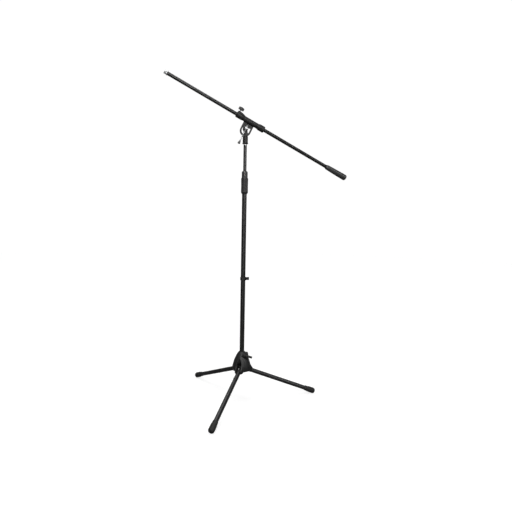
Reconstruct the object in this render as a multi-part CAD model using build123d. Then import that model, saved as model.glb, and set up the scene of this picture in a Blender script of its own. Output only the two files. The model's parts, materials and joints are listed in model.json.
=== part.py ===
from build123d import *
import os
from math import cos, sin, tan, radians

# Boom microphone stand, millimetres, +Z up.
# Origin: on the column's axis, at the floor.  +X points along leg 1 and under the counterweight end
# of the boom; the boom's tip rises towards -X.  -Y is the side of the tilt lever.

os.makedirs("parts", exist_ok=True)

# ---------------------------------------------------------------- driving dimensions
# tripod
leg_slope = 21.6                # degrees below level, legs open
leg_radius = 9.25
leg_wall = 1.2
leg_count = 3
foot_end = 367.5                # from the leg lines' apex on the column axis to the foot's end
foot_length = 49.0
foot_radius = 12.7
foot_corner = 9.0
leg_up_angle = 80.0             # degrees above level, legs folded
pivot_radius = 30.0             # of the leg pivot pins from the column axis
lever_length = 20.0             # leg pivot to the pin in the spider
pivot_pin_radius = 2.5
rivet_radius = 2.0
rivet_distance = 46.0           # from the leg pivot, along the leg
plug_length = 56.0              # of the knuckle, from the leg pivot

# column
lower_radius = 10.0
lower_wall = 1.2
lower_top = 940.0
upper_radius = 7.0
upper_wall = 1.2
upper_bottom = 300.0
upper_top = 1099.6
clutch_bottom = 898.0
clutch_step = 964.0
clutch_top = 992.0
clutch_body_radius = 12.0
grip_radius = 14.9
collar_radius = 12.5
clip_height = 534.0
clip_angle = -12.9              # azimuth of the cable clip's hook

# spider, the end piece of the lower tube
spider_radius = 21.0
spider_half = 7.0
spider_bolt_radius = 2.5

# hub
hub_top = 214.0
hub_rim = 125.5                 # lower edge of the lobes that hold the legs
hub_skirt = 131.0               # lower edge between the lobes
lobe_radius = 47.0
lobe_half_width = 17.5
lobe_corner = 8.0
slot_half_width = 9.6
slot_roof = 162.0               # height up to which the leg slots open into the hollow
hub_wall = 3.0
hub_bore_low = 172.0            # lower end of the bore that guides the column
ear_angle = -10.0               # azimuth of the clamp ears
ear_bolt_radius = 21.5
ear_bolt_height = 200.0
ear_radius = 6.6
boss_reach = 20.0               # of the front ear's boss, along the bolt
clamp_screw_radius = 3.0
hub_knob_turn = 12.0            # degrees, rest position of the hub knob's wings

# swivel on the column; across the tilt axis, + is towards the lever
tilt_height = 1166.7            # tilt axis, parallel to Y
stud_radius = 4.76              # 3/8 inch
shoulder_height = 5.8           # of the stud's shoulder above the upper tube
socket_radius = 11.0
socket_flange = 12.4
neck_back = -0.2
neck_front = 7.0
neck_eye = 9.6
ear_back = -8.0                 # of the boom holder
ear_front = -2.0
tilt_screw_radius = 4.0
handle_length = 60.0            # lever's bare part, from the tilt axis

# boom holder
loop_radius = 23.5
loop_thickness = 7.2
loop_drop = 5.3                 # loop centre below the tilt axis
loop_shift = 3.0                # loop centre behind the tilt axis
sill_height = -8.0              # top of the bow's thick rear half, from the tilt axis
sill_edge = -4.0                # front end of that half, from the tilt axis
sleeve_radius = 11.0
liner_radius = 9.0
liner_length = 22.0
boss_height = 16.5
pad_radius = 3.4
lock_screw_radius = 3.0

# boom
boom_rise = 26.2                # degrees, tip up
sleeve_offset = 36.1            # sleeve axis from the tilt axis
boom_radius = 7.5
boom_wall = 1.2
boom_front = 376.5              # tube end from the tilt axis, along the boom
tip_thread_radius = 7.94        # 5/8 inch thread
tip_thread_length = 12.0
weight_start = 388.0            # counterweight, behind the tilt axis
weight_end = 494.5
core_radius = 9.2
sleeve_front = 60.5
sleeve_rear = 70.5
lock_place = 52.5               # boom lock screw, ahead of the tilt axis

running_gap = 0.05              # radial gap of a running fit
loose_gap = 0.35                # gap between moving pieces that don't bear on each other

# ---------------------------------------------------------------- places worked out from them
slope = radians(leg_slope)
foot_tip_radius = foot_radius - 0.2
apex_height = (
    (foot_end - foot_corner) * sin(slope)
    + (foot_tip_radius - foot_corner) * cos(slope)
    + foot_corner
)
pivot_height = apex_height - pivot_radius * tan(slope)
pivot_along = pivot_radius / cos(slope)
rivet_place = pivot_along + rivet_distance
fold_angle = leg_up_angle + leg_slope
lever_rise = lever_length * sin(radians(fold_angle / 2))
spider_height = pivot_height + lever_rise
spider_plug_top = spider_height + spider_half + 28.0
socket_bottom = upper_top + shoulder_height
socket_top = tilt_height - 30.4
handle_low = neck_front + 1.6   # handle's hub, across the tilt axis
handle_high = handle_low + 15.5
handle_arm = handle_low + 8.4

leg_place = Plane(
    origin=(0, 0, apex_height),
    x_dir=(0, 1, 0),
    z_dir=(cos(slope), 0, -sin(slope)),
).location
boom_direction = (-cos(radians(boom_rise)), 0, sin(radians(boom_rise)))
boom_up = (sin(radians(boom_rise)), 0, cos(radians(boom_rise)))
# boom frame: z towards the tip, y away from the tilt axis, x towards the tilt lever
boom_place = Plane(
    origin=(sleeve_offset * boom_up[0], 0, tilt_height + sleeve_offset * boom_up[2]),
    x_dir=(0, -1, 0),
    z_dir=boom_direction,
).location


# ---------------------------------------------------------------- helpers
def turned(points):
    """Solid of revolution about Z from (radius, height) points."""
    outline = Plane.XZ * make_face(Polyline(*points, close=True))
    return revolve(outline, Axis.Z)


def ring(outer, inner, low, high):
    """Straight tube about Z."""
    return turned([(inner, low), (outer, low), (outer, high), (inner, high)])


def rod(radius, low, high):
    """Straight round bar about Z."""
    return Pos(0, 0, (low + high) / 2) * Cylinder(radius, high - low)


def block(low, high):
    """Box between two corners."""
    size = [high[i] - low[i] for i in range(3)]
    middle = [(high[i] + low[i]) / 2 for i in range(3)]
    return Pos(*middle) * Box(*size)


def cross_rod(radius, low, high):
    """Round bar about X, from low to high."""
    return Pos((low + high) / 2, 0, 0) * (Rot(0, 90, 0) * Cylinder(radius, high - low))


def plate_xz(points, half_width, corner=0.0):
    """Outline in X and Z, extruded to both sides of Y = 0."""
    face = make_face(Polyline(*points, close=True))
    if corner:
        face = fillet(face.vertices(), corner)
    return extrude(Plane.XZ * face, half_width, both=True)


def all_round(shape, count=leg_count):
    """The shape repeated about the column's axis."""
    return [Rot(0, 0, 360 / count * i) * shape for i in range(count)]


def write(name, *solids):
    """One STEP per node; several solids share a node as a group."""
    parts = [s for shape in solids for s in shape.solids()]
    export_step(parts[0] if len(parts) == 1 else Compound(children=parts), f"parts/{name}.step")


# ---------------------------------------------------------------- tripod legs
def leg_tube():
    bore = leg_radius - leg_wall
    return leg_place * ring(leg_radius, bore, pivot_along + 12.0, foot_end - 10.0)


def foot():
    """Rubber end cap: a lip, a swelling body and a rounded toe."""
    start = foot_end - foot_length
    toe_wall = 10.0
    lip = 1.9
    cap = turned([
        (0, start),
        (leg_radius + lip, start),
        (leg_radius + lip, start + 3.0),
        (leg_radius + 1.4, start + 4.2),
        (leg_radius + 3.0, start + 14.0),
        (foot_radius, start + 26.0),
        (foot_tip_radius, foot_end),
        (0, foot_end),
    ])
    cap = fillet(cap.edges().group_by(Axis.Z)[-1], foot_corner)
    cap -= rod(leg_radius, start - 1.0, foot_end - toe_wall)
    return leg_place * cap


def leg_knuckle():
    """Cast inner end of a leg: a plug in the tube, the pivot eye and the bent lever with its pin."""
    plug_radius = leg_radius - leg_wall
    eye_radius = 8.5
    eye_half = 9.0
    lever_half = 2.8
    pin_half = 6.2
    pin_radius = 2.0
    plug = leg_place * rod(plug_radius, pivot_along + 12.0, pivot_along + plug_length)
    shank = leg_place * block(
        (-eye_half, -eye_radius + 0.6, pivot_along),
        (eye_half, eye_radius - 0.6, pivot_along + 11.8),
    )
    collar = leg_place * rod(leg_radius - 0.1, pivot_along + 6.0, pivot_along + 12.0)
    eye = Pos(pivot_radius, 0, pivot_height) * (Rot(90, 0, 0) * Cylinder(eye_radius, 2 * eye_half))
    lever_tilt = 180 - fold_angle / 2
    bar = block((0, -lever_half, -3.5), (lever_length, lever_half, 3.5))
    end = Pos(lever_length, 0, 0) * (Rot(90, 0, 0) * Cylinder(3.5, 2 * lever_half))
    pin = Pos(lever_length, 0, 0) * (Rot(90, 0, 0) * Cylinder(pin_radius, 2 * pin_half))
    lever = Pos(pivot_radius, 0, pivot_height) * (Rot(0, -lever_tilt, 0) * (bar + end + pin))
    bore = Rot(90, 0, 0) * Cylinder(pivot_pin_radius + running_gap, 30)
    hole = Pos(pivot_radius, 0, pivot_height) * bore
    body = eye + (shank & (leg_place * rod(11.5, 0, 100))) + collar + plug + lever
    return body - hole - leg_place * rivet_hole()


def rivet_hole():
    """Cross hole through tube and plug for the rivet, in leg frame."""
    return Pos(0, 0, rivet_place) * cross_rod(rivet_radius, -12, 12)


def leg_rivet():
    """Rivet with two low domed heads across the leg tube."""
    shank_half = leg_radius + 0.9
    body = Pos(0, 0, rivet_place) * cross_rod(rivet_radius, -shank_half, shank_half)
    for side in (-1, 1):
        head = Pos(side * (leg_radius + 0.35), 0, rivet_place) * cross_rod(3.2, -0.55, 0.55)
        body += head - rod(leg_radius, 0, 200)
    return leg_place * body


def leg_pivot_pins():
    """Three headed pins, their ends sunk in the hub's lobes."""
    half = lobe_half_width - 1.2
    pin = Rot(90, 0, 0) * Cylinder(pivot_pin_radius, 2 * half)
    return all_round(Pos(pivot_radius, 0, pivot_height) * pin)


# ---------------------------------------------------------------- hub
dome_outline = [
    (38.8, hub_skirt),
    (40.2, 140.0),
    (40.0, 148.0),
    (38.6, 157.0),
    (36.0, 167.0),
    (32.4, 178.0),
    (28.4, 187.5),
    (24.0, 196.5),
    (19.2, 205.0),
    (15.0, 210.5),
    (12.2, hub_top),
]


def dome(inset=0.0, top=hub_top):
    """The bell's body of revolution, drawn in by inset."""
    rise = [(r - inset, z) for r, z in dome_outline if z - inset <= top]
    low = [(rise[0][0], 100.0)] if inset else []
    curve = Spline(*[(r, z) for r, z in rise])
    start = curve @ 0
    end = curve @ 1
    foot_z = low[0][1] if low else start.Y
    outline = [
        Line((0, foot_z), (start.X, foot_z)),
        curve,
        Line((end.X, end.Y), (0, end.Y)),
        Line((0, end.Y), (0, foot_z)),
    ]
    if low:
        outline.insert(1, Line((start.X, foot_z), (start.X, start.Y)))
    return revolve(Plane.XZ * make_face(outline), Axis.Z)


def lobe():
    """One rounded bulge of the rim, with its top sloping down to the leg."""
    side = plate_xz([
        (10.0, hub_rim),
        (lobe_radius + 0.6, hub_rim),
        (lobe_radius + 0.6, 140.0),
        (lobe_radius - 3.0, 146.0),
        (lobe_radius - 9.0, 154.0),
        (10.0, 162.0),
    ], lobe_half_width)
    plan = make_face(Polyline(
        (0, -lobe_half_width),
        (lobe_radius + 0.6, -lobe_half_width),
        (lobe_radius + 0.6, lobe_half_width),
        (0, lobe_half_width),
        close=True,
    ))
    plan = fillet(plan.vertices().group_by(Axis.X)[-1], lobe_corner)
    body = side & (Pos(0, 0, 100) * extrude(plan, 80))
    upper = body.edges().filter_by(lambda e: e.center().Z > 140.5 and e.center().X > 12)
    body = fillet(upper, 4.0)
    rim = body.faces().sort_by(Axis.Z)[0].edges().filter_by(lambda e: e.center().X > 12)
    return fillet(rim, 1.5)


def leg_slot():
    """Everything a leg sweeps between open and folded, with its gap."""
    fold = radians(leg_up_angle)
    reach = 60.0
    top = (pivot_radius + reach * cos(fold), pivot_height + reach * sin(fold))
    sweep = plate_xz([
        top,
        (top[0] + 60.0, top[1]),
        (top[0] + 60.0, 105.0),
        (18.0, 105.0),
        (18.0, slot_roof),
        (pivot_radius + (slot_roof - pivot_height) / tan(fold), slot_roof),
    ], slot_half_width)
    folded = Plane(
        origin=(pivot_radius, 0, pivot_height),
        x_dir=(0, 1, 0),
        z_dir=(cos(fold), 0, sin(fold)),
    ).location * rod(slot_half_width, -6.0, 90.0)
    return sweep + folded


def ear_frame():
    """Clamp ears: x outwards, y towards the knob, z up."""
    return Rot(0, 0, ear_angle)


def clamp_bore():
    """Hole of the clamp screw through both ears, in the ear frame."""
    bore = Rot(90, 0, 0) * Cylinder(clamp_screw_radius + running_gap, 80)
    return Pos(ear_bolt_radius, 0, ear_bolt_height) * bore


def ear_pair():
    """Two rounded ears that the clamp bolt draws together, the front one with a long boss."""
    half = 7.0
    ears = plate_xz([
        (4.0, -ear_radius),
        (ear_bolt_radius + ear_radius, -ear_radius),
        (ear_bolt_radius + ear_radius, ear_radius + 2.6),
        (4.0, ear_radius + 2.6),
    ], half)
    ears = fillet(ears.edges().filter_by(Axis.Y).group_by(Axis.X)[-1], ear_radius - 0.2)
    boss = Pos(ear_bolt_radius, 0, 0) * (Rot(90, 0, 0) * rod(ear_radius, 0, boss_reach))
    return ear_frame() * (Pos(0, 0, ear_bolt_height) * (ears + boss))


def hub_housing():
    body = dome()
    for piece in all_round(lobe()):
        body += piece
    body += ear_pair()
    hollow = dome(hub_wall, top=hub_bore_low)
    cheeks = block((pivot_radius - 6.5, -lobe_half_width, 100), (lobe_radius, lobe_half_width, 160))
    for piece in all_round(cheeks):
        hollow -= piece
    body -= hollow
    for piece in all_round(leg_slot()):
        body -= piece
    body -= rod(lower_radius + running_gap, 100, hub_top + 1)
    body -= rod(pivot_radius - 7.0, 100, hub_bore_low - 12.0)
    pins = Rot(90, 0, 0) * Cylinder(pivot_pin_radius, 2 * (lobe_half_width - 1.2))
    for piece in all_round(Pos(pivot_radius, 0, pivot_height) * pins):
        body -= piece
    split = block((6.0, -0.9, ear_bolt_height - 13.0), (40.0, 0.9, hub_top + 1))
    body -= ear_frame() * split
    body -= ear_frame() * clamp_bore()
    body -= ear_frame() * nut_pocket()
    return body


def nut_blank(across, thick):
    """Hexagon prism about Y, centred."""
    return extrude(Plane.XZ * RegularPolygon(across / 2, 6, major_radius=False), thick / 2, both=True)


def nut_pocket():
    """Hexagon pocket in the rear ear."""
    return Pos(ear_bolt_radius, 5.6, ear_bolt_height) * nut_blank(10.0, 4.0)


def hub_clamp_nut():
    blank = Pos(ear_bolt_radius, 5.4, ear_bolt_height) * nut_blank(10.0, 3.0)
    return ear_frame() * (blank - clamp_bore())


def hub_knob_place():
    """Hub knob frame: z along the bolt, out of the front ear."""
    at = ear_frame() * Pos(ear_bolt_radius, -boss_reach, ear_bolt_height)
    return at * Rot(90, 0, 0) * Rot(0, 0, -hub_knob_turn)


def hub_clamp_screw():
    """Bolt from the knob through both ears; the knob is moulded on its end."""
    return hub_knob_place() * rod(clamp_screw_radius, -boss_reach - 7.0, 8.2)


def wing_knob(half_span, thick, base_radius, wing_low, total):
    """Wing knob about Z: a round boss with two tapering wings above wing_low."""
    boss = turned([
        (0, 0),
        (base_radius - 0.8, 0),
        (base_radius, 1.0),
        (base_radius, wing_low),
        (base_radius - 0.8, total - 1.4),
        (base_radius - 2.4, total),
        (0, total),
    ])
    rise = total - wing_low
    outline = make_face(Polyline(
        (-half_span, wing_low + rise * 0.48),
        (-half_span * 0.96, total - rise * 0.04),
        (-base_radius * 0.8, total - rise * 0.16),
        (base_radius * 0.8, total - rise * 0.16),
        (half_span * 0.96, total - rise * 0.04),
        (half_span, wing_low + rise * 0.48),
        (base_radius * 0.7, wing_low),
        (-base_radius * 0.7, wing_low),
        close=True,
    ))
    outline = fillet(outline.vertices(), rise * 0.16)
    wings = extrude(Plane.XZ * outline, thick / 2, both=True)
    wings = fillet(wings.faces().sort_by(Axis.Y)[0].edges(), rise * 0.12)
    wings = fillet(wings.faces().sort_by(Axis.Y)[-1].edges(), rise * 0.12)
    return boss + wings


def hub_lock_knob():
    body = wing_knob(23.5, 8.5, 7.2, 4.0, 15.5)
    body -= rod(clamp_screw_radius, -1.0, 7.2)
    return hub_knob_place() * (Pos(0, 0, 1.0) * body)


# ---------------------------------------------------------------- lower column
def tube_spider():
    """Plastic end piece of the lower tube: a plug and three forks that work the leg levers."""
    body = rod(spider_radius, spider_height - spider_half, spider_height + spider_half)
    body += rod(lower_radius - lower_wall, spider_height + spider_half, spider_plug_top)
    gap = 1.15
    lever_slot = block((5.9, -3.2, spider_height - 10), (30, 3.2, spider_height + spider_half + 0.01))
    pin_slot = block((7.5, -6.7, spider_height - 2.0 - gap), (30, 6.7, spider_height + 2.0 + gap))
    for piece in all_round(lever_slot) + all_round(pin_slot):
        body -= piece
    body -= rod(spider_bolt_radius, 100, spider_plug_top + 1)
    return body


def spider_bolt():
    """Bolt up the spider's middle with its nut on top of the plug."""
    low = spider_height - spider_half
    head = rod(4.2, low - 3.0, low)
    shank = rod(spider_bolt_radius, low - 0.01, spider_plug_top + 5.0)
    return head + shank


def spider_nut():
    blank = extrude(RegularPolygon(4.0, 6, major_radius=False), 4.0)
    return Pos(0, 0, spider_plug_top) * blank - rod(spider_bolt_radius, 100, spider_plug_top + 9)


def lower_tube():
    return ring(lower_radius, lower_radius - lower_wall, spider_height + spider_half, lower_top)


def cable_clip():
    """Snap ring on the lower tube with an open hook for a cable."""
    half = 6.8
    outer = lower_radius + 2.4
    hook_centre = 19.6
    hook_outer = 6.2
    hook_inner = 4.0
    grip = ring(outer, lower_radius + running_gap, -half, half)
    grip -= Rot(0, 0, 90) * block((4, -5.5, -20), (30, 5.5, 20))
    stem = block((lower_radius + 0.9, -2.6, -half + 0.6), (hook_centre - 4.8, 2.6, half))
    hook = Pos(hook_centre, 0, 0) * ring(hook_outer, hook_inner, -half + 1.6, half)
    hook -= Pos(hook_centre, 0, 0) * (Rot(0, 0, 125) * block((0, -2.6, -20), (20, 2.6, 20)))
    body = grip + stem + hook
    return Pos(0, 0, clip_height) * (Rot(0, 0, clip_angle) * body)


# ---------------------------------------------------------------- height clutch
def clutch_body():
    """Threaded sleeve on the top of the lower tube."""
    low = clutch_bottom + 4.0
    high = clutch_step - 6.0
    body = turned([
        (lower_radius, low),
        (clutch_body_radius, low),
        (clutch_body_radius, high),
        (upper_radius + 0.4, high),
        (upper_radius + 0.4, lower_top),
        (lower_radius, lower_top),
    ])
    return body


def clutch_grip():
    """Ribbed hand grip that screws on the clutch body."""
    bore = clutch_body_radius + running_gap
    tube_gap = lower_radius + loose_gap
    high = clutch_step - 0.3
    waist = (clutch_bottom + high) / 2
    grip = turned([
        (tube_gap, clutch_bottom - 2.0),
        (tube_gap + 0.6, clutch_bottom - 2.0),
        (grip_radius, clutch_bottom + 4.5),
        (grip_radius - 0.5, waist),
        (grip_radius + 0.1, high - 2.0),
        (grip_radius - 1.2, high),
        (bore, high),
        (bore, clutch_bottom + 3.5),
        (tube_gap, clutch_bottom + 3.5),
    ])
    ribs = 20
    groove_depth = 0.7
    groove = rod(0.9, clutch_bottom + 7.0, high - 6.0)
    for i in range(ribs):
        grip -= Rot(0, 0, 360 / ribs * i) * (Pos(grip_radius - groove_depth + 0.9, 0, 0) * groove)
    return grip


def clutch_collet():
    """Split nylon ring that closes on the upper tube."""
    body = turned([
        (upper_radius + running_gap, clutch_step - 6.0),
        (9.4, clutch_step - 6.0),
        (9.4, clutch_top - 4.0),
        (8.6, clutch_top - 1.5),
        (upper_radius + running_gap, clutch_top - 1.5),
    ])
    return body - block((0, -0.6, 900), (20, 0.6, 1000))


def clutch_collar():
    """Collar over the collet, with a bevelled top and a clamping slit."""
    body = turned([
        (9.4, clutch_step),
        (collar_radius, clutch_step),
        (collar_radius, clutch_top - 3.6),
        (collar_radius - 2.6, clutch_top),
        (8.6, clutch_top),
        (8.6, clutch_top - 1.5),
        (9.4, clutch_top - 4.0),
    ])
    foot_ring = ring(clutch_body_radius - 0.05, 9.4, clutch_step - 6.0, clutch_step)
    slit = Rot(0, 0, -100) * block((5, -0.7, clutch_step + 7.0), (20, 0.7, clutch_top + 1))
    return body + foot_ring - slit


# ---------------------------------------------------------------- upper column
def tube_guide_bush():
    """Plastic bush round the upper tube's lower end, sliding in the lower tube."""
    outer = lower_radius - lower_wall - running_gap
    body = ring(outer, upper_radius + running_gap, upper_bottom + 0.4, upper_bottom + 40.0)
    return body - block((0, -1.0, upper_bottom + 8.0), (20, 1.0, upper_bottom + 41.0))


def upper_tube():
    return ring(upper_radius, upper_radius - upper_wall, upper_bottom, upper_top)


def upper_tube_plug():
    """Plug that keeps the bush on the tube's lower end."""
    bore = upper_radius - upper_wall
    flange = lower_radius - lower_wall - loose_gap
    return rod(flange, upper_bottom - 3.0, upper_bottom) + rod(bore, upper_bottom, upper_bottom + 15.0)


def top_adapter():
    """Chromed threaded stud in the upper tube's top."""
    body = rod(upper_radius - upper_wall, upper_top - 14.0, upper_top)
    body += rod(upper_radius + 0.1, upper_top, socket_bottom)
    body = chamfer(body.edges().group_by(Axis.Z)[-1], 0.8)
    body += rod(stud_radius, socket_bottom, socket_bottom + 16.0)
    return body


def swivel_socket():
    """Round socket on the column with a flat neck that carries the tilt screw."""
    body = turned([
        (0, socket_bottom),
        (socket_flange - 0.5, socket_bottom),
        (socket_flange, socket_bottom + 0.6),
        (socket_flange, socket_bottom + 3.2),
        (socket_radius, socket_bottom + 4.4),
        (socket_radius, socket_top - 1.6),
        (socket_radius - 1.6, socket_top),
        (0, socket_top),
    ])
    spread = socket_radius - 1.6
    neck = extrude(Plane.XZ * make_face(Polyline(
        (-spread, socket_top - 3.0),
        (spread, socket_top - 3.0),
        (spread, socket_top),
        (neck_eye * 0.82, tilt_height - 6.0),
        (-neck_eye * 0.82, tilt_height - 6.0),
        (-spread, socket_top),
        close=True,
    )), neck_front - 0.01)
    eye = Pos(0, -neck_front / 2, tilt_height) * (Rot(90, 0, 0) * Cylinder(neck_eye, neck_front))
    root = Plane.XZ * make_face(Polyline(
        (-spread, socket_top - 3.0),
        (spread, socket_top - 3.0),
        (spread, socket_top),
        (-spread, socket_top),
        close=True,
    ))
    body += (neck & rod(socket_radius, 1000, 1300)) + eye
    body += extrude(root, -2.0) & rod(socket_radius, 1000, 1300)
    body -= rod(stud_radius, socket_bottom - 1, socket_bottom + 18.0)
    body -= Pos(0, 0, tilt_height) * (Rot(90, 0, 0) * Cylinder(tilt_screw_radius + running_gap, 60))
    return body


# ---------------------------------------------------------------- boom holder
def web_plate():
    """Stirrup under the sleeve: two arms, a round bow and the ear of the tilt screw."""
    centre = (-loop_shift, -loop_drop)
    top = sleeve_offset - 6.0
    outer = Pos(*centre) * Circle(loop_radius)
    outer += Pos(centre[0], (centre[1] + top) / 2) * Rectangle(2 * loop_radius, top - centre[1])
    inner_radius = loop_radius - loop_thickness
    inner = Pos(*centre) * Circle(inner_radius)
    inner += Pos(centre[0], centre[1] + 15.0) * Rectangle(2 * inner_radius, 30.0)
    roof = make_face(Polyline((-40, 21.0), (40, -8.0), (40, 60), (-40, 60), close=True))
    ear = Circle(neck_eye + 1.0)
    sill = Pos(sill_edge - 30.0, sill_height - 30.0) * Rectangle(60.0, 60.0)
    opening = inner - roof - ear - sill
    face = outer - opening
    # face is drawn with x towards the tip and y up; the boom frame has z there
    upright = Plane(origin=(ear_back, 0, 0), x_dir=(0, 0, 1), z_dir=(-1, 0, 0))
    return extrude(upright * face, -(ear_front - ear_back))


def boom_holder():
    """Sleeve for the boom, with its end collars, screw boss and the stirrup below."""
    body = turned([
        (0, -sleeve_rear),
        (12.9, -sleeve_rear),
        (13.5, -sleeve_rear + 0.8),
        (13.5, -sleeve_rear + 24.0),
        (sleeve_radius, -sleeve_rear + 31.0),
        (sleeve_radius, sleeve_front - 33.0),
        (12.5, sleeve_front - 25.0),
        (12.5, sleeve_front - 0.8),
        (11.9, sleeve_front),
        (0, sleeve_front),
    ])
    boss_outline = make_face(Polyline(
        (0, sleeve_front - 40.0),
        (8.5, sleeve_front - 40.0),
        (boss_height - 2.6, sleeve_front - 25.0),
        (boss_height, sleeve_front - 12.0),
        (boss_height, sleeve_front - 2.0),
        (boss_height - 2.0, sleeve_front - 0.4),
        (0, sleeve_front - 0.4),
        close=True,
    ))
    upright = Plane(origin=(0, 0, 0), x_dir=(0, 1, 0), z_dir=(1, 0, 0))
    boss = extrude(upright * boss_outline, 7.0, both=True)
    boss = fillet(boss.edges().filter_by(Axis.Z).group_by(Axis.Y)[-1], 3.0)
    body += boss
    body += Pos(0, -sleeve_offset, 0) * web_plate()
    body -= rod(liner_radius, -100, 100)
    body -= Pos(0, 0, lock_place) * (Rot(-90, 0, 0) * Pos(0, 0, 15) * Cylinder(pad_radius, 20))
    body -= Pos(0, -sleeve_offset, 0) * cross_rod(tilt_screw_radius + running_gap, -30, 30)
    body -= Pos(ear_back, -sleeve_offset, 0) * (Rot(0, 90, 0) * nut_recess())
    return boom_place * body


def nut_recess():
    """Hexagon recess for the tilt nut, 2 mm deep at the ear's back."""
    return extrude(RegularPolygon(6.5, 6, major_radius=False), 2.0)


def tilt_nut():
    blank = Pos(ear_back + 1.9, -sleeve_offset, 0) * (Rot(0, -90, 0) * extrude(
        RegularPolygon(6.45, 6, major_radius=False), 6.5))
    blank -= Pos(0, -sleeve_offset, 0) * cross_rod(tilt_screw_radius + running_gap, -30, 30)
    return boom_place * blank


def friction_disc():
    """Ribbed disc between the holder's ear and the neck."""
    disc = Pos(0, -sleeve_offset, 0) * cross_rod(neck_eye, ear_front, neck_back - 0.3)
    disc -= Pos(0, -sleeve_offset, 0) * cross_rod(tilt_screw_radius + running_gap, -30, 30)
    return boom_place * disc


def sleeve_liner(front):
    """Plastic liner at one end of the sleeve, with a thin lip."""
    bore = boom_radius + running_gap
    end = sleeve_front if front else -sleeve_rear
    side = 1 if front else -1
    inside = end - side * liner_length
    low, high = sorted((inside, end))
    body = ring(liner_radius, bore, low, high)
    lip_low, lip_high = sorted((end, end + side * 1.2))
    body += ring(liner_radius + 1.6, bore, lip_low, lip_high)
    if front:
        body -= Pos(0, 0, lock_place) * (Rot(-90, 0, 0) * Pos(0, 0, 10) * Cylinder(pad_radius, 20))
    return boom_place * body


def lock_pad():
    """Small pad between the lock screw and the boom, hollowed to the boom's round."""
    body = Pos(0, 0, lock_place) * (Rot(-90, 0, 0) * rod(pad_radius - 0.05, 5.0, 10.4))
    return boom_place * (body - rod(boom_radius + 0.1, -100, 100))


# ---------------------------------------------------------------- tilt screw and lever
def tilt_washer():
    disc = Pos(0, -sleeve_offset, 0) * cross_rod(8.0, neck_front + 0.2, neck_front + 1.4)
    disc -= Pos(0, -sleeve_offset, 0) * cross_rod(tilt_screw_radius + running_gap, -30, 30)
    return boom_place * disc


def tilt_screw():
    """Threaded rod from the handle's hub through neck and ear to the nut."""
    screw = cross_rod(tilt_screw_radius, ear_back - 7.0, handle_low + 9.0)
    return boom_place * (Pos(0, -sleeve_offset, 0) * screw)


def tilt_handle():
    """Chromed cast handle: a stepped hub and a tapering lever square to the boom."""
    hub = turned([
        (0, handle_low),
        (6.6, handle_low),
        (8.4, handle_low + 2.2),
        (8.4, handle_high - 3.0),
        (6.8, handle_high - 0.8),
        (4.6, handle_high),
        (0, handle_high),
    ])
    hub = Rot(0, 90, 0) * hub
    arm = turned([
        (0, 3.0),
        (5.2, 3.0),
        (4.4, 9.0),
        (2.9, 14.0),
        (2.1, 38.0),
        (2.2, 50.0),
        (3.4, handle_length),
        (0, handle_length),
    ])
    arm = Pos(handle_arm, 0, 0) * (Rot(90, 0, 0) * arm)
    crown = turned([
        (0, 3.0),
        (5.4, 3.0),
        (4.6, 9.5),
        (3.0, 11.6),
        (0, 12.0),
    ])
    crown = Pos(handle_arm, 0, 0) * (Rot(-90, 0, 0) * crown)
    body = hub + arm + crown
    body -= cross_rod(tilt_screw_radius, 0, handle_low + 9.0)
    return boom_place * (Pos(0, -sleeve_offset, 0) * body)


def lever_cap():
    """Flared plastic tip on the lever's end."""
    cap = turned([
        (0, handle_length),
        (3.5, handle_length),
        (5.6, handle_length + 7.0),
        (5.8, handle_length + 9.6),
        (4.8, handle_length + 11.2),
        (0, handle_length + 11.8),
    ])
    return boom_place * (Pos(handle_arm, -sleeve_offset, 0) * (Rot(90, 0, 0) * cap))


# ---------------------------------------------------------------- boom
def boom_tube():
    return boom_place * ring(boom_radius, boom_radius - boom_wall, -weight_start - 52.0, boom_front)


def tip_adapter():
    """Microphone thread with a thin flange, its shank pressed in the boom."""
    flange = 1.2
    body = rod(boom_radius - boom_wall, boom_front - 22.0, boom_front)
    body += rod(10.5, boom_front, boom_front + flange)
    body += rod(tip_thread_radius, boom_front + flange, boom_front + flange + tip_thread_length)
    return boom_place * body


def counterweight_core():
    """Steel core with a socket for the boom's rear end."""
    body = rod(core_radius, -weight_end + 8.0, -weight_start - 3.0)
    return boom_place * (body - rod(boom_radius, -weight_start - 52.0, 0))


def counterweight_sleeve():
    """Plastic sleeve over the core, swelling to a rounded end."""
    outline = [
        (0, -weight_end),
        (13.0, -weight_end),
        (12.9, -weight_end + 14.0),
        (12.2, -weight_start - 50.0),
        (11.4, -weight_start - 22.0),
        (10.7, -weight_start - 6.0),
        (8.6, -weight_start),
        (0, -weight_start),
    ]
    body = turned(outline)
    body = fillet(body.edges().group_by(Axis.Z)[0], 7.5)
    groove = ring(20.0, 12.2, -weight_end + 11.0, -weight_end + 12.2)
    body -= groove
    body -= rod(core_radius, -weight_end + 8.0, -weight_start - 3.0)
    body -= rod(boom_radius, -weight_start - 10.0, 0)
    return boom_place * body


def lock_place_location():
    """Boom lock frame: z along the screw, away from the boom."""
    return boom_place * Pos(0, 0, lock_place) * Rot(-90, 0, 0) * Rot(0, 0, 90)


def boom_lock_screw():
    return lock_place_location() * rod(lock_screw_radius, 10.6, 31.6)


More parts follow.
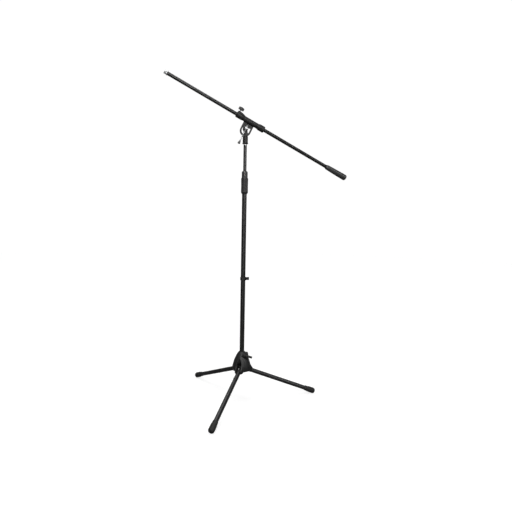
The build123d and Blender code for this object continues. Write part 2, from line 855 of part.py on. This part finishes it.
def boom_lock_knob():
    """Small wing knob: two flat wings as tall as its boss, with a slightly domed top."""
    half_span = 11.8
    total = 12.4
    outline = make_face(Polyline(
        (-half_span, 0),
        (-half_span, total - 1.8),
        (-4.0, total),
        (4.0, total),
        (half_span, total - 1.8),
        (half_span, 0),
        close=True,
    ))
    outline = fillet(outline.vertices(), 1.6)
    wings = extrude(Plane.XZ * outline, 3.4, both=True)
    wings = fillet(wings.faces().sort_by(Axis.Y)[0].edges(), 1.2)
    wings = fillet(wings.faces().sort_by(Axis.Y)[-1].edges(), 1.2)
    boss = turned([
        (0, 0),
        (5.6, 0),
        (6.2, 0.8),
        (6.2, total - 1.6),
        (5.0, total - 0.2),
        (0, total - 0.2),
    ])
    body = boss + wings - rod(lock_screw_radius, -1.0, 8.5)
    return lock_place_location() * (Pos(0, 0, 23.2) * body)


# ---------------------------------------------------------------- all nodes
def main():
    for i in range(leg_count):
        turn = Rot(0, 0, 360 / leg_count * i)
        number = i + 1
        tube = leg_tube() - leg_place * rivet_hole()
        write(f"leg_tube_{number}", turn * tube)
        write(f"leg_foot_{number}", turn * foot())
        write(f"leg_knuckle_{number}", turn * leg_knuckle())
        write(f"leg_rivet_{number}", turn * leg_rivet())
    write("leg_pivot_pins", *leg_pivot_pins())
    write("hub_housing", hub_housing())
    write("hub_clamp_nut", hub_clamp_nut())
    write("hub_clamp_screw", hub_clamp_screw())
    write("hub_lock_knob", hub_lock_knob())
    write("tube_spider", tube_spider())
    write("spider_bolt", spider_bolt())
    write("spider_nut", spider_nut())
    write("lower_tube", lower_tube())
    write("cable_clip", cable_clip())
    write("clutch_body", clutch_body())
    write("clutch_grip", clutch_grip())
    write("clutch_collet", clutch_collet())
    write("clutch_collar", clutch_collar())
    write("tube_guide_bush", tube_guide_bush())
    write("upper_tube", upper_tube())
    write("upper_tube_plug", upper_tube_plug())
    write("top_adapter", top_adapter())
    write("swivel_socket", swivel_socket())
    write("boom_holder", boom_holder())
    write("tilt_nut", tilt_nut())
    write("friction_disc", friction_disc())
    write("sleeve_liner_front", sleeve_liner(True))
    write("sleeve_liner_rear", sleeve_liner(False))
    write("lock_pad", lock_pad())
    write("tilt_washer", tilt_washer())
    write("tilt_screw", tilt_screw())
    write("tilt_handle", tilt_handle())
    write("lever_cap", lever_cap())
    write("boom_tube", boom_tube())
    write("tip_adapter", tip_adapter())
    write("counterweight_core", counterweight_core())
    write("counterweight_sleeve", counterweight_sleeve())
    write("boom_lock_screw", boom_lock_screw())
    write("boom_lock_knob", boom_lock_knob())


main()
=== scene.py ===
import json
from math import cos, pi, radians, sin

import bmesh
import bpy
from mathutils import Matrix, Vector


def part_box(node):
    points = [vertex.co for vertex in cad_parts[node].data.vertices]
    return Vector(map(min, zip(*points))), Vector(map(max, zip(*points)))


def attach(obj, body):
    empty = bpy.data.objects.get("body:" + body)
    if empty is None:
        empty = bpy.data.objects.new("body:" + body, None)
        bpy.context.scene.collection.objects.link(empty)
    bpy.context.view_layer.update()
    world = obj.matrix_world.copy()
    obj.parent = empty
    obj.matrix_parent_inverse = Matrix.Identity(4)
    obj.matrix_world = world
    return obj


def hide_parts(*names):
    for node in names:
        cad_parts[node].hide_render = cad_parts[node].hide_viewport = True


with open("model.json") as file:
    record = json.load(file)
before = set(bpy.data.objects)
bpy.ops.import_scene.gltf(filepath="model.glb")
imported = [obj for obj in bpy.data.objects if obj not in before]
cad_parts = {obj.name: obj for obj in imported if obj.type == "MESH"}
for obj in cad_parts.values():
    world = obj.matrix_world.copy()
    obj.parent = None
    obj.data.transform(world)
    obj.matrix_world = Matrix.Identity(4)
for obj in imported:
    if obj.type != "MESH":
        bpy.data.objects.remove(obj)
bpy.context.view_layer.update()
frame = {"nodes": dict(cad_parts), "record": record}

MM = 0.001
scene = bpy.context.scene
nodes = frame["nodes"]
record = frame["record"]


# ---------------------------------------------------------------- places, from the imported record
def box_of(name):
    """Low and high corner of a CAD node's box."""
    low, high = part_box(name)
    return Vector(low), Vector(high)


def middle(name):
    """Middle of a CAD node's box."""
    low, high = box_of(name)
    return (low + high) / 2


joint = {j["name"]: j for j in record["behaviour"]["joints"]}
mount = {m["name"]: m for m in record["mounts"]}
boom_axis = Vector(joint["boom_slide"]["axis"]).normalized()      # towards the tip
boom_up = Vector(joint["boom_knob_turn"]["axis"]).normalized()    # away from the tilt axis
UP = Vector((0, 0, 1))


def frame_at(origin, z_axis, x_hint):
    """Matrix whose z runs along z_axis and whose x is near x_hint."""
    z = Vector(z_axis).normalized()
    x = Vector(x_hint)
    x = (x - z * x.dot(z)).normalized()
    y = z.cross(x)
    m = Matrix((x, y, z)).transposed().to_4x4()
    m.translation = Vector(origin)
    return m


# ---------------------------------------------------------------- node helpers
class Shader:
    """Small wrapper that adds and links shader nodes of one material."""

    def __init__(self, name):
        self.material = bpy.data.materials.new(name)
        self.material.use_nodes = True
        self.tree = self.material.node_tree
        self.surface = self.tree.nodes["Principled BSDF"]
        self.place = self.add("ShaderNodeTexCoord").outputs["Object"]

    def add(self, kind, **settings):
        node = self.tree.nodes.new(kind)
        for key, value in settings.items():
            setattr(node, key, value)
        return node

    def link(self, source, target):
        self.tree.links.new(source, target)

    def mapped(self, rotation=(0, 0, 0), scale=(1, 1, 1)):
        """Object coordinates turned and scaled, for grain that runs one way."""
        node = self.add("ShaderNodeMapping", vector_type="TEXTURE")
        self.link(self.place, node.inputs["Vector"])
        node.inputs["Rotation"].default_value = rotation
        node.inputs["Scale"].default_value = scale
        return node.outputs["Vector"]

    def noise(self, scale, detail=3.0, rough=0.5, vector=None):
        node = self.add("ShaderNodeTexNoise")
        node.inputs["Scale"].default_value = scale
        node.inputs["Detail"].default_value = detail
        node.inputs["Roughness"].default_value = rough
        self.link(vector or self.place, node.inputs["Vector"])
        return node.outputs["Fac"]

    def cells(self, scale, vector=None):
        node = self.add("ShaderNodeTexVoronoi")
        node.inputs["Scale"].default_value = scale
        self.link(vector or self.place, node.inputs["Vector"])
        return node.outputs["Distance"]

    def ranged(self, value, low, high, new_low, new_high):
        node = self.add("ShaderNodeMapRange")
        limits = {"From Min": low, "From Max": high, "To Min": new_low, "To Max": new_high}
        for key, number in limits.items():
            node.inputs[key].default_value = number
        self.link(value, node.inputs["Value"])
        return node.outputs["Result"]

    def tones(self, value, dark, light, low=0.3, high=0.7):
        """Colour between two tones as value goes from low to high."""
        node = self.add("ShaderNodeValToRGB")
        ramp = node.color_ramp
        ramp.elements[0].position = low
        ramp.elements[0].color = (*dark, 1)
        ramp.elements[1].position = high
        ramp.elements[1].color = (*light, 1)
        self.link(value, node.inputs["Fac"])
        return node.outputs["Color"]

    def mixed(self, factor, first, second):
        node = self.add("ShaderNodeMix", data_type="RGBA")
        self.link(factor, node.inputs[0])
        self.link(first, node.inputs[6])
        self.link(second, node.inputs[7])
        return node.outputs[2]

    def bumps(self, *layers):
        """Stack of bump layers: (height, distance in mm, strength)."""
        normal = None
        for height, distance, strength in layers:
            node = self.add("ShaderNodeBump")
            node.inputs["Distance"].default_value = distance * MM
            node.inputs["Strength"].default_value = strength
            self.link(height, node.inputs["Height"])
            if normal:
                self.link(normal, node.inputs["Normal"])
            normal = node.outputs["Normal"]
        self.link(normal, self.surface.inputs["Normal"])

    def set(self, **values):
        for key, value in values.items():
            self.surface.inputs[key.replace("_", " ")].default_value = value


# ---------------------------------------------------------------- materials
def grey(value, warm=0.0):
    """Grey tone, tinted a little towards yellow when warm is above 0."""
    return (value * (1 + warm), value, value * (1 - warm))


def enamel(name, direction, dark=0.006, light=0.010, rough=(0.33, 0.38)):
    """Satin black powder coat on a tube: soft orange peel, faint rub marks along the tube."""
    s = Shader(name)
    turn = Vector((0, 0, 1)).rotation_difference(Vector(direction)).to_euler()
    along = s.mapped(rotation=tuple(turn), scale=(1, 1, 24))
    streaks = s.noise(900, 4, 0.6, along)
    clouds = s.noise(14, 3, 0.5)
    peel = s.noise(1400, 2, 0.5)
    tone = s.tones(clouds, grey(dark), grey(light), 0.35, 0.68)
    rubbed = s.ranged(streaks, 0.62, 0.84, 0.0, 0.12)
    worn = s.tones(clouds, grey(light * 1.5), grey(light * 2.0))
    s.link(s.mixed(rubbed, tone, worn), s.surface.inputs["Base Color"])
    s.link(s.ranged(streaks, 0.3, 0.75, *rough), s.surface.inputs["Roughness"])
    s.bumps((peel, 0.02, 0.12), (streaks, 0.008, 0.08))
    s.set(Coat_Weight=0.1, Coat_Roughness=0.3)
    return s.material


def casting(name, dark=0.009, light=0.016):
    """Black enamel over a die casting: slightly uneven, with small pits."""
    s = Shader(name)
    clouds = s.noise(45, 4, 0.55)
    pits = s.cells(900)
    grain = s.noise(1600, 3, 0.6)
    s.link(s.tones(clouds, grey(dark), grey(light)), s.surface.inputs["Base Color"])
    s.link(s.ranged(clouds, 0.3, 0.7, 0.40, 0.52), s.surface.inputs["Roughness"])
    s.bumps((s.noise(160, 2, 0.5), 0.15, 0.2), (pits, 0.03, 0.15), (grain, 0.02, 0.2))
    s.set(Specular_IOR_Level=0.3)
    return s.material


def moulded(name, dark, light, rough=(0.42, 0.55), grain_scale=1500, grain_depth=0.08):
    """Moulded plastic with a spark-eroded grain and a faint flow pattern."""
    s = Shader(name)
    grain = s.cells(grain_scale)
    fine = s.noise(2600, 2, 0.6)
    flow = s.noise(28, 4, 0.6, s.mapped(scale=(1, 1, 2.2)))
    s.link(s.tones(flow, grey(dark), grey(light), 0.32, 0.7), s.surface.inputs["Base Color"])
    s.link(s.ranged(flow, 0.3, 0.7, *rough), s.surface.inputs["Roughness"])
    s.bumps((grain, grain_depth, 0.15), (fine, 0.02, 0.15))
    return s.material


def rubber(name, dark=0.009, light=0.015):
    """Matt rubber, a little dusty."""
    s = Shader(name)
    fine = s.noise(1900, 4, 0.7)
    dust = s.noise(120, 5, 0.65)
    body = s.tones(s.noise(20, 3, 0.5), grey(dark), grey(light, 0.02))
    pale = s.tones(dust, grey(light * 1.6, 0.05), grey(light * 2.2, 0.05))
    dusty = s.ranged(dust, 0.56, 0.75, 0.0, 0.5)
    s.link(s.mixed(dusty, body, pale), s.surface.inputs["Base Color"])
    s.link(s.ranged(dust, 0.3, 0.7, 0.62, 0.8), s.surface.inputs["Roughness"])
    s.bumps((fine, 0.04, 0.25), (dust, 0.03, 0.2))
    return s.material


def bright_plate(name, tone=0.72, rough=(0.09, 0.2), metal=1.0):
    """Bright plating with faint wipe marks; metal below 1 for a milky, worn plate; a pale tone
    with low metal gives a plate whose brightness is partly painted light.
    """
    s = Shader(name)
    smear = s.noise(70, 4, 0.6)
    hair = s.noise(1300, 3, 0.7, s.mapped(rotation=(0.5, 0.4, 0.2), scale=(1, 1, 12)))
    plate = s.tones(smear, grey(tone * 0.93, -0.01), grey(tone, -0.005))
    s.link(plate, s.surface.inputs["Base Color"])
    s.link(s.ranged(smear, 0.3, 0.72, *rough), s.surface.inputs["Roughness"])
    s.bumps((hair, 0.008, 0.25))
    s.set(Metallic=metal)
    return s.material


def zinc(name, tone=0.5):
    """Zinc-plated steel: dull, slightly mottled."""
    s = Shader(name)
    mottle = s.cells(420)
    clouds = s.noise(90, 4, 0.6)
    plate = s.tones(clouds, grey(tone * 0.82, -0.02), grey(tone, 0.01))
    s.link(plate, s.surface.inputs["Base Color"])
    s.link(s.ranged(clouds, 0.3, 0.7, 0.28, 0.45), s.surface.inputs["Roughness"])
    s.bumps((mottle, 0.02, 0.3), (s.noise(2000, 2, 0.5), 0.02, 0.3))
    s.set(Metallic=1.0)
    return s.material


def nylon(name):
    """Undyed nylon, which lets a little light in."""
    s = Shader(name)
    clouds = s.noise(60, 3, 0.5)
    s.link(s.tones(clouds, (0.52, 0.5, 0.44), (0.62, 0.6, 0.54)), s.surface.inputs["Base Color"])
    s.link(s.ranged(clouds, 0.3, 0.7, 0.42, 0.55), s.surface.inputs["Roughness"])
    s.bumps((s.noise(1800, 2, 0.5), 0.03, 0.3))
    s.set(Subsurface_Weight=0.15, Subsurface_Scale=0.002)
    return s.material


def leg_direction(number):
    """Direction of a leg, outwards."""
    return middle(f"leg_foot_{number}") - middle(f"leg_rivet_{number}")


column_enamel = enamel("column_enamel", UP)
upper_enamel = enamel("upper_tube_enamel", UP, 0.015, 0.021, (0.38, 0.44))
boom_enamel = enamel("boom_enamel", boom_axis, 0.005, 0.008, (0.30, 0.35))
cast_black = casting("cast_black")
hub_plastic = moulded("hub_plastic", 0.009, 0.015)
knob_plastic = moulded("knob_plastic", 0.010, 0.016, (0.38, 0.5), 1900, 0.05)
clip_plastic = moulded("clip_plastic", 0.010, 0.016, (0.4, 0.5), 1900, 0.05)
grip_plastic = moulded("grip_plastic", 0.014, 0.019, (0.44, 0.52), 1500, 0.05)
collar_plastic = moulded("collar_plastic", 0.026, 0.034, (0.42, 0.5), 1500, 0.05)
inner_plastic = moulded("inner_plastic", 0.006, 0.010, (0.5, 0.6))
cap_plastic = moulded("cap_plastic", 0.07, 0.1, (0.4, 0.5))
# counterweight plastic: its tone is lighter than the other black plastics as painted light,
# standing in for the light that falls on its upper side
weight_plastic_painted_light = moulded("weight_plastic_painted_light", 0.026, 0.037, (0.36, 0.46), 1700, 0.04)
foot_rubber = rubber("foot_rubber")
disc_rubber = rubber("disc_rubber", 0.012, 0.018)
chrome = bright_plate("chrome", 0.38, (0.32, 0.42), 0.85)
# tip thread plating: the pale tone and low metal are partly painted light, a painted reflection
# that brightens the tip where no lamp reflects off its left end
tip_plate_painted_light = bright_plate("tip_plate_painted_light", 0.84, (0.24, 0.34), 0.55)
satin_chrome = bright_plate("satin_chrome", 0.42, (0.26, 0.38), 0.9)
zinc_steel = zinc("zinc_steel")
dark_rivet = casting("dark_rivet", 0.008, 0.014)
natural_nylon = nylon("natural_nylon")

node_material = {
    "hub_housing": hub_plastic,
    "hub_lock_knob": knob_plastic,
    "boom_lock_knob": knob_plastic,
    "cable_clip": clip_plastic,
    "clutch_grip": grip_plastic,
    "clutch_collar": collar_plastic,
    "clutch_body": inner_plastic,
    "tube_spider": inner_plastic,
    "upper_tube_plug": inner_plastic,
    "sleeve_liner_front": inner_plastic,
    "sleeve_liner_rear": inner_plastic,
    "counterweight_sleeve": weight_plastic_painted_light,
    "lower_tube": column_enamel,
    "upper_tube": upper_enamel,
    "boom_tube": boom_enamel,
    "boom_holder": cast_black,
    "swivel_socket": cast_black,
    "friction_disc": disc_rubber,
    "top_adapter": satin_chrome,
    "tip_adapter": tip_plate_painted_light,
    "tilt_handle": chrome,
    "boom_lock_screw": satin_chrome,
    "lever_cap": cap_plastic,
    "clutch_collet": natural_nylon,
    "tube_guide_bush": natural_nylon,
    "lock_pad": natural_nylon,
}
for number in (1, 2, 3):
    leg_enamel = enamel(f"leg_enamel_{number}", leg_direction(number), 0.009, 0.016)
    node_material[f"leg_tube_{number}"] = leg_enamel
    node_material[f"leg_foot_{number}"] = foot_rubber
    node_material[f"leg_knuckle_{number}"] = inner_plastic
    node_material[f"leg_rivet_{number}"] = dark_rivet
for name, cad in nodes.items():
    cad.data.materials.clear()
    cad.data.materials.append(node_material.get(name, zinc_steel))


# ---------------------------------------------------------------- pieces that stand for CAD nodes
body_of = {n: b for b, members in record["behaviour"]["bodies"].items() for n in members}


def piece(name, mesh, material, *stands_for):
    """New object that shows instead of the CAD nodes it stands for, and moves with them."""
    mesh.name = name
    mesh.materials.clear()
    mesh.materials.append(material)
    mesh.shade_smooth()
    obj = bpy.data.objects.new(name, mesh)
    scene.collection.objects.link(obj)
    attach(obj, body_of[stands_for[0]])
    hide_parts(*stands_for)
    return obj


def evaluated(obj):
    """The object's mesh with its modifiers applied."""
    graph = bpy.context.evaluated_depsgraph_get()
    mesh = bpy.data.meshes.new_from_object(obj.evaluated_get(graph))
    bpy.data.objects.remove(obj)
    return mesh


def softened(node, name, voxel, passes):
    """Cast or moulded piece: the CAD shape with every edge and inner corner rounded."""
    work = bpy.data.objects.new("work", nodes[node].data.copy())
    scene.collection.objects.link(work)
    remesh = work.modifiers.new("remesh", "REMESH")
    remesh.mode = "VOXEL"
    remesh.voxel_size = voxel * MM
    smooth = work.modifiers.new("smooth", "SMOOTH")
    smooth.factor = 0.5
    smooth.iterations = passes
    return piece(name, evaluated(work), node_material.get(node, zinc_steel), node)


def lathe(points, place, steps=96, wave=None):
    """Mesh of revolution from (radius, height) points in mm.

    wave(angle, height) gives a factor for the radius.
    """
    mesh = bpy.data.meshes.new("lathe")
    bm = bmesh.new()
    rings = []
    for r, z in points:
        if r < 1e-6:
            rings.append([bm.verts.new((0, 0, z * MM))])
            continue
        ring = []
        for i in range(steps):
            a = 2 * pi * i / steps
            k = r * (wave(a, z) if wave else 1.0) * MM
            ring.append(bm.verts.new((k * cos(a), k * sin(a), z * MM)))
        rings.append(ring)
    for low, high in zip(rings, rings[1:]):
        for i in range(steps):
            j = (i + 1) % steps
            if len(low) == 1:
                bm.faces.new((low[0], high[j], high[i]))
            elif len(high) == 1:
                bm.faces.new((low[i], low[j], high[0]))
            else:
                bm.faces.new((low[i], low[j], high[j], high[i]))
    bm.transform(place)
    bmesh.ops.remove_doubles(bm, verts=bm.verts, dist=0.001 * MM)
    bmesh.ops.recalc_face_normals(bm, faces=bm.faces)
    bm.to_mesh(mesh)
    bm.free()
    return mesh


def rounded(points, radius, steps=4):
    """The outline with every corner between its ends replaced by a curve of about that radius."""
    out = [points[0]]
    for before, at, after in zip(points, points[1:], points[2:]):
        p, q, r = (Vector((*v, 0)) for v in (before, at, after))
        u, v = (p - q), (r - q)
        cut = min(radius, u.length * 0.45, v.length * 0.45)
        start, end = q + u.normalized() * cut, q + v.normalized() * cut
        for i in range(steps + 1):
            t = i / steps
            w = start * (1 - t) ** 2 + q * (2 * t * (1 - t)) + end * t ** 2
            out.append((w.x, w.y))
    out.append(points[-1])
    return out


def joined(*meshes):
    """One mesh out of several."""
    bm = bmesh.new()
    for mesh in meshes:
        bm.from_mesh(mesh)
        bpy.data.meshes.remove(mesh)
    whole = bpy.data.meshes.new("joined")
    bm.to_mesh(whole)
    bm.free()
    return whole


ROWS_PER_TURN = 10    # rows of vertices along one turn of a thread


def thread(radius, depth, pitch, low, high, place, steps, chamfer=0.8):
    """Threaded rod: radius follows a rounded V along a helix, run out at both ends."""
    mesh = bpy.data.meshes.new("thread")
    bm = bmesh.new()
    rows = int((high - low) / pitch * ROWS_PER_TURN) + 1
    rings = []
    for k in range(rows + 1):
        z = low + (high - low) * k / rows
        taper = max(0.0, min(1.0, (z - low) / chamfer, (high - z) / chamfer))
        ring = []
        for i in range(steps):
            a = 2 * pi * i / steps
            phase = (z / pitch - i / steps) % 1.0
            ridge = min(1.0, max(0.0, 1.25 - 2.5 * abs(phase - 0.5)))
            sunk = 1 - ridge * taper + 0.25 * (1 - taper)
            r = (radius - depth * sunk) * MM
            ring.append(bm.verts.new((r * cos(a), r * sin(a), z * MM)))
        rings.append(ring)
    for one, two in zip(rings, rings[1:]):
        for i in range(steps):
            j = (i + 1) % steps
            bm.faces.new((one[i], one[j], two[j], two[i]))
    for ring, z, flip in ((rings[0], low, True), (rings[-1], high, False)):
        hub = bm.verts.new((0, 0, z * MM))
        for i in range(steps):
            j = (i + 1) % steps
            bm.faces.new((hub, ring[j], ring[i]) if flip else (hub, ring[i], ring[j]))
    bm.transform(place)
    bm.to_mesh(mesh)
    bm.free()
    return mesh


softened("hub_housing", "hub_shell", 0.8, 12)
softened("boom_holder", "boom_cradle", 0.6, 8)
softened("swivel_socket", "swivel_casting", 0.5, 8)
softened("hub_lock_knob", "hub_wing_knob", 0.35, 10)
softened("boom_lock_knob", "boom_wing_knob", 0.25, 10)
softened("cable_clip", "cable_hook", 0.3, 6)
softened("tilt_handle", "chrome_lever", 0.3, 6)
softened("lever_cap", "lever_tip", 0.3, 4)

# the microphone thread at the boom's tip, 27 threads per inch
tip = mount["mic_thread"]
tip_end = Vector(tip["pos_m"])
tip_radius, tip_length = tip["dims"]["r_mm"], tip["dims"]["length_mm"]
tip_place = frame_at(tip_end, boom_axis, boom_up)
flange_low = -tip_length - 1.2
flange_radius = 10.5
plug_low = flange_low - 20
plug_radius = 6.2
shank_profile = [
    (0, plug_low),
    (plug_radius, plug_low),
    (plug_radius, flange_low),
    (flange_radius, flange_low),
    (flange_radius, -tip_length),
    (tip_radius - 0.6, -tip_length),
    (0, -tip_length),
]
shank = lathe(rounded(shank_profile, 0.3), tip_place)
crest = thread(tip_radius, 0.5, 25.4 / 27, -tip_length, 0, tip_place, 96)
piece("tip_thread", joined(shank, crest), tip_plate_painted_light, "tip_adapter")

# the lock screw above the sleeve, M6
lock_radius, lock_depth, lock_pitch = 3.0, 0.45, 1.0
lock_low, lock_high = 10.6, 30.5
lock_place = frame_at(joint["boom_knob_turn"]["pos_m"], boom_up, boom_axis)
lock_thread = thread(lock_radius, lock_depth, lock_pitch, lock_low, lock_high, lock_place, 48)
piece("boom_lock_thread", lock_thread, satin_chrome, "boom_lock_screw")

# rubber feet: beaded lip, two fine grooves, swelling body, tread rings towards the toe
foot_inside = 9.3         # radius of the hole the leg tube sits in
foot_hole_end = 38.4
foot_from_axis = 318.5    # start of the foot along the leg's line, from the column's axis
foot_length = 49.0
tread_rings = 4
tread_start = 28.5
tread_pitch = 3.6
foot_profile = [(0, foot_hole_end), (foot_inside, foot_hole_end), (foot_inside, 0)]
foot_profile += [(11.1, 0), (11.1, 3.0), (10.5, 4.2), (10.9, 7.0), (10.4, 7.6), (10.4, 8.4)]
foot_profile += [(11.3, 9.0), (11.6, 11.6), (11.1, 12.2), (11.1, 13.0), (12.1, 13.8), (12.6, 26.0)]
for turn in range(tread_rings):
    at = tread_start + tread_pitch * turn
    foot_profile += [(12.6, at), (12.0, at + 0.6), (12.0, at + 1.2), (12.55, at + 1.8)]
foot_profile += [(12.5, 42.0), (10.6, 46.4), (7.0, 48.6), (3.5, foot_length), (0, foot_length)]
for number in (1, 2, 3):
    pivot = Vector(joint[f"leg_{number}_fold"]["pos_m"])
    along = (middle(f"leg_rivet_{number}") - pivot).normalized()
    outward = Vector((pivot.x, pivot.y, 0)).length
    level = Vector((along.x, along.y, 0)).length
    foot_start = foot_from_axis * MM - outward / level
    place = frame_at(pivot + along * foot_start, along, UP)
    foot_mesh = lathe(rounded(foot_profile, 0.4, 3), place, 80)
    piece(f"rubber_foot_{number}", foot_mesh, foot_rubber, f"leg_foot_{number}")

# ribbed hand grip of the height clutch
grip_low, grip_high = (v.z / MM for v in box_of("clutch_grip"))
grip_waist = (grip_low + grip_high) / 2
grip_floor = grip_low + 5.5    # height of the step inside
grip_hole, grip_inside = 10.4, 12.1
grip_profile = [(grip_hole, grip_low), (11.0, grip_low), (14.8, grip_low + 6.5)]
grip_profile += [(14.4, grip_waist), (14.95, grip_high - 2.2), (13.8, grip_high)]
grip_profile += [(grip_inside, grip_high), (grip_inside, grip_floor)]
grip_profile += [(grip_hole, grip_floor), (grip_hole, grip_low)]


def ribs(angle, height):
    """Factor for the radius: twenty rounded grooves that run out before the grip's ends."""
    inside = min(height - grip_low - 7.0, grip_high - 5.0 - height)
    depth = max(0.0, min(1.0, inside / 3.0))
    return 1 - 0.05 * depth * (0.5 + 0.5 * cos(20 * angle)) ** 3


def dense(points, step):
    """The outline with points added so that none are further apart than step."""
    out = [points[0]]
    for (r0, z0), (r1, z1) in zip(points, points[1:]):
        count = max(1, int(abs(z1 - z0) / step))
        for i in range(1, count + 1):
            out.append((r0 + (r1 - r0) * i / count, z0 + (z1 - z0) * i / count))
    return out


grip_mesh = lathe(dense(rounded(grip_profile, 1.0), 1.0), Matrix.Identity(4), 320, ribs)
piece("ribbed_grip", grip_mesh, grip_plastic, "clutch_grip")

# counterweight: sleeve with a groove before its rounded end
tip_from_tilt = 389.7           # along the boom, ahead of the tilt axis
weight_end_from_tilt = 494.5    # behind it
sleeve_hole = 7.55
weight_profile = [(0, 0), (8.0, 0.1), (11.6, 2.6), (12.9, 6.6), (12.9, 10.8)]
weight_profile += [(12.3, 11.1), (12.3, 12.1), (12.85, 12.5), (12.8, 20.0), (12.1, 56.0)]
weight_profile += [(11.3, 84.5), (10.6, 100.5), (8.7, 106.4)]
weight_profile += [(sleeve_hole, 106.4), (sleeve_hole, 54.0)]
weight_end = tip_end + boom_axis * (-weight_end_from_tilt - tip_from_tilt) * MM
weight_mesh = lathe(rounded(weight_profile, 0.5), frame_at(weight_end, boom_axis, boom_up))
piece("weight_sleeve", weight_mesh, weight_plastic_painted_light, "counterweight_sleeve")


# ---------------------------------------------------------------- floor, light, camera
def white_paper(name, middle_glow, edge_glow):
    """Paper that glows a little, more so away from the object, so that it photographs white."""
    s = Shader(name)
    away = s.add("ShaderNodeVectorMath", operation="LENGTH")
    s.link(s.place, away.inputs[0])
    s.link(s.tones(s.noise(3, 2, 0.5), grey(0.37), grey(0.39)), s.surface.inputs["Base Color"])
    s.link(s.ranged(s.noise(5, 2, 0.5), 0.3, 0.7, 0.8, 0.9), s.surface.inputs["Roughness"])
    glow = s.ranged(away.outputs["Value"], 0.6, 4.2, middle_glow, edge_glow)
    s.link(glow, s.surface.inputs["Emission Strength"])
    s.set(Emission_Color=(1, 1, 1, 1), Specular_IOR_Level=0.0)
    return s.material


FLOOR_DROP = 0.0006    # gap between the feet and the paper


def studio():
    """Round paper floor, and a white dome that only the camera sees."""
    reach, steps, rings = 9.0, 64, 14
    dome_low, dome_turn = -2, 92    # degrees above level where the dome starts, and its sweep
    mesh = bpy.data.meshes.new("floor")
    bm = bmesh.new()
    bmesh.ops.create_circle(bm, cap_ends=True, segments=steps, radius=reach)
    bm.transform(Matrix.Translation((0, 0, -FLOOR_DROP)))
    bm.to_mesh(mesh)
    bm.free()
    floor = bpy.data.objects.new("floor", mesh)
    scene.collection.objects.link(floor)
    mesh.materials.append(white_paper("floor_paper", 0.75, 0.95))
    shell = bpy.data.meshes.new("dome")
    bm = bmesh.new()
    rows = []
    for k in range(rings + 1):
        a = radians(dome_low + dome_turn * k / rings)
        r, z = max(reach * cos(a), 1e-4), reach * sin(a)
        turns = [2 * pi * i / steps for i in range(steps)]
        rows.append([bm.verts.new((r * cos(t), r * sin(t), z)) for t in turns])
    for one, two in zip(rows, rows[1:]):
        for i in range(steps):
            bm.faces.new((one[i], two[i], two[(i + 1) % steps], one[(i + 1) % steps]))
    bm.to_mesh(shell)
    bm.free()
    dome = bpy.data.objects.new("dome", shell)
    scene.collection.objects.link(dome)
    shell.materials.append(white_paper("dome_paper", 0.96, 0.96))
    dome.visible_diffuse = dome.visible_glossy = False
    dome.visible_shadow = dome.visible_transmission = False
    floor.visible_diffuse = floor.visible_glossy = False


def area_light(name, place, target, width, height, power):
    """Rectangular lamp at place that faces target."""
    data = bpy.data.lights.new(name, "AREA")
    data.shape = "RECTANGLE"
    data.size = width
    data.size_y = height
    data.energy = power
    lamp = bpy.data.objects.new(name, data)
    scene.collection.objects.link(lamp)
    lamp.matrix_world = frame_at(place, Vector(place) - Vector(target), (1, 0, 0.01))


studio()
fill_light = 0.12
world = bpy.data.worlds.new("studio")
scene.world = world
world.use_nodes = True
backdrop = world.node_tree.nodes["Background"]
backdrop.inputs["Color"].default_value = (1, 1, 1, 1)
backdrop.inputs["Strength"].default_value = fill_light

centre = Vector((0, 0, 0.75))
area_light("front_strip", (-0.7, -2.7, 1.0), centre, 0.4, 2.0, 13)
area_light("front_bar", (-0.2, -2.6, 2.1), (0, 0, 1.1), 2.6, 0.18, 46)
area_light("right_box", (1.9, -1.7, 1.5), centre, 0.5, 1.0, 14)
area_light("top_box", (-0.2, 0.2, 3.4), centre, 2.4, 2.4, 60)

camera_data = bpy.data.cameras.new("camera")
camera = bpy.data.objects.new("camera", camera_data)
scene.collection.objects.link(camera)
scene.camera = camera
camera_data.sensor_width = 36.0
camera_data.lens = 30.163
camera_data.clip_end = 50
camera_place = (-0.3585, -1.8051, 0.7867)
look = Vector((0.2228, 0.9713, -0.0833)).normalized()
roll = radians(1.07)
right = look.cross(UP).normalized()
above = right.cross(look)
x_axis = right * cos(roll) + above * sin(roll)
camera.matrix_world = frame_at(camera_place, -look, x_axis)

scene.view_settings.view_transform = "Standard"
scene.view_settings.look = "None"
